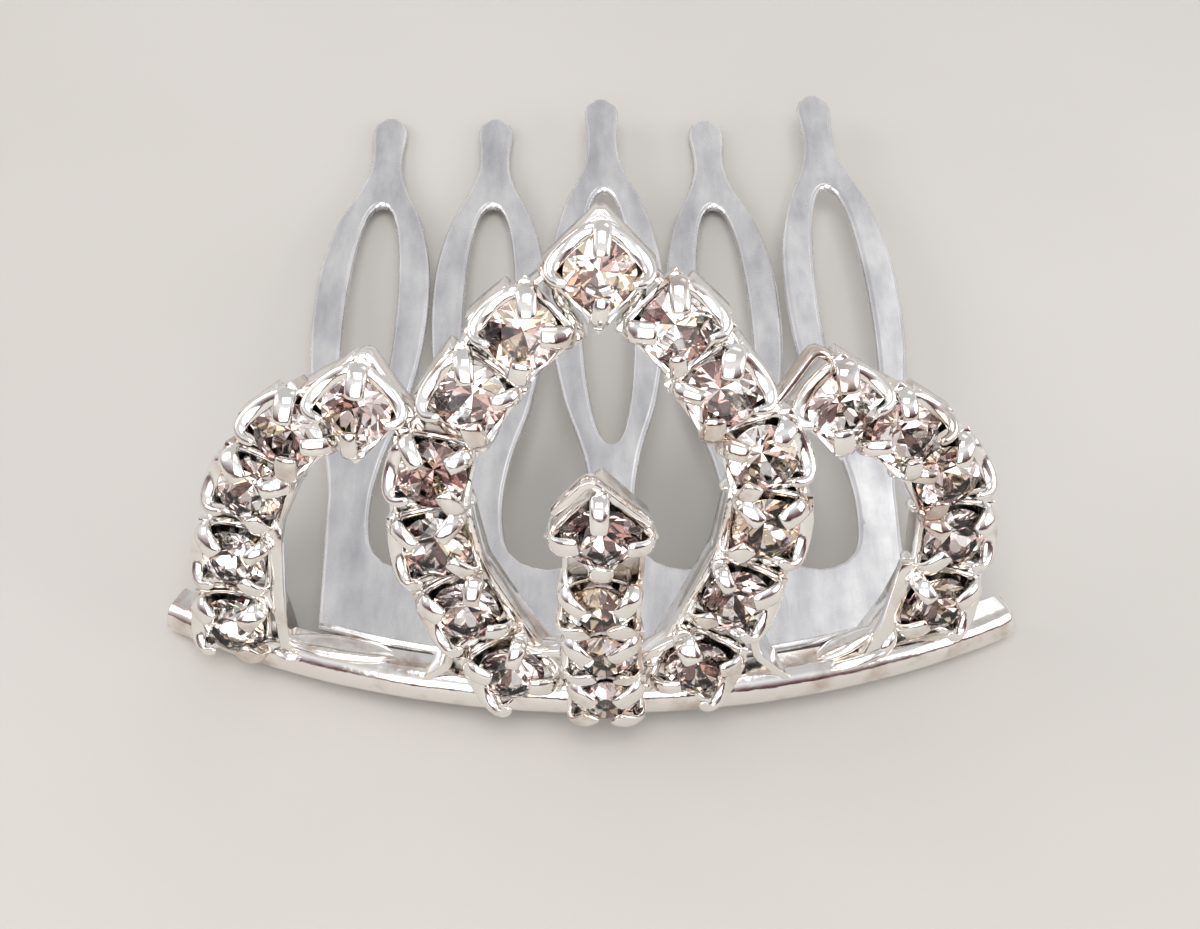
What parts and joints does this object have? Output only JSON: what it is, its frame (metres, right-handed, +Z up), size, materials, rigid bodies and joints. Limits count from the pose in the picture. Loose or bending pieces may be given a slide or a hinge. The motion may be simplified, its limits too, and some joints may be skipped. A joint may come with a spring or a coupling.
{
  "type": "mini tiara hair comb",
  "caption": "Small lightweight tiara on a hair comb: pointed arches of claw-set clear stones on a curved metal band, with looped teeth that slide into the hair.",
  "frame": {"origin": "on the surface the tiara lies on, under the middle of its outer box", "axes": "+Z up, +Y along the comb's teeth towards their tips, +X to the right as seen from the stones' side, so the stones face -Y"},
  "size_m": [0.0466, 0.0524, 0.0271],
  "materials": {
    "silver_plate": "bright silver plate, smooth and mirror-like",
    "satin_silver_plate": "thin silver plate on stamped sheet, slightly cloudy",
    "crystal": "polished cut glass with a foil back, clear with a faint warm tone"
  },
  "bodies": {
    "root": {"tiara_frame": "silver_plate", "comb": "satin_silver_plate", "stone_peak": "crystal", "stone_arch_left_1": "crystal", "stone_arch_left_2": "crystal", "stone_arch_left_3": "crystal", "stone_arch_left_4": "crystal", "stone_arch_left_5": "crystal", "stone_arch_left_6": "crystal", "stone_arch_right_1": "crystal", "stone_arch_right_2": "crystal", "stone_arch_right_3": "crystal", "stone_arch_right_4": "crystal", "stone_arch_right_5": "crystal", "stone_arch_right_6": "crystal", "stone_post_1": "crystal", "stone_post_2": "crystal", "stone_post_3": "crystal", "stone_post_4": "crystal", "stone_side_left_1": "crystal", "stone_side_left_2": "crystal", "stone_side_left_3": "crystal", "stone_side_left_4": "crystal", "stone_side_left_5": "crystal", "stone_side_right_1": "crystal", "stone_side_right_2": "crystal", "stone_side_right_3": "crystal", "stone_side_right_4": "crystal", "stone_side_right_5": "crystal"}
  },
  "joints": []
}
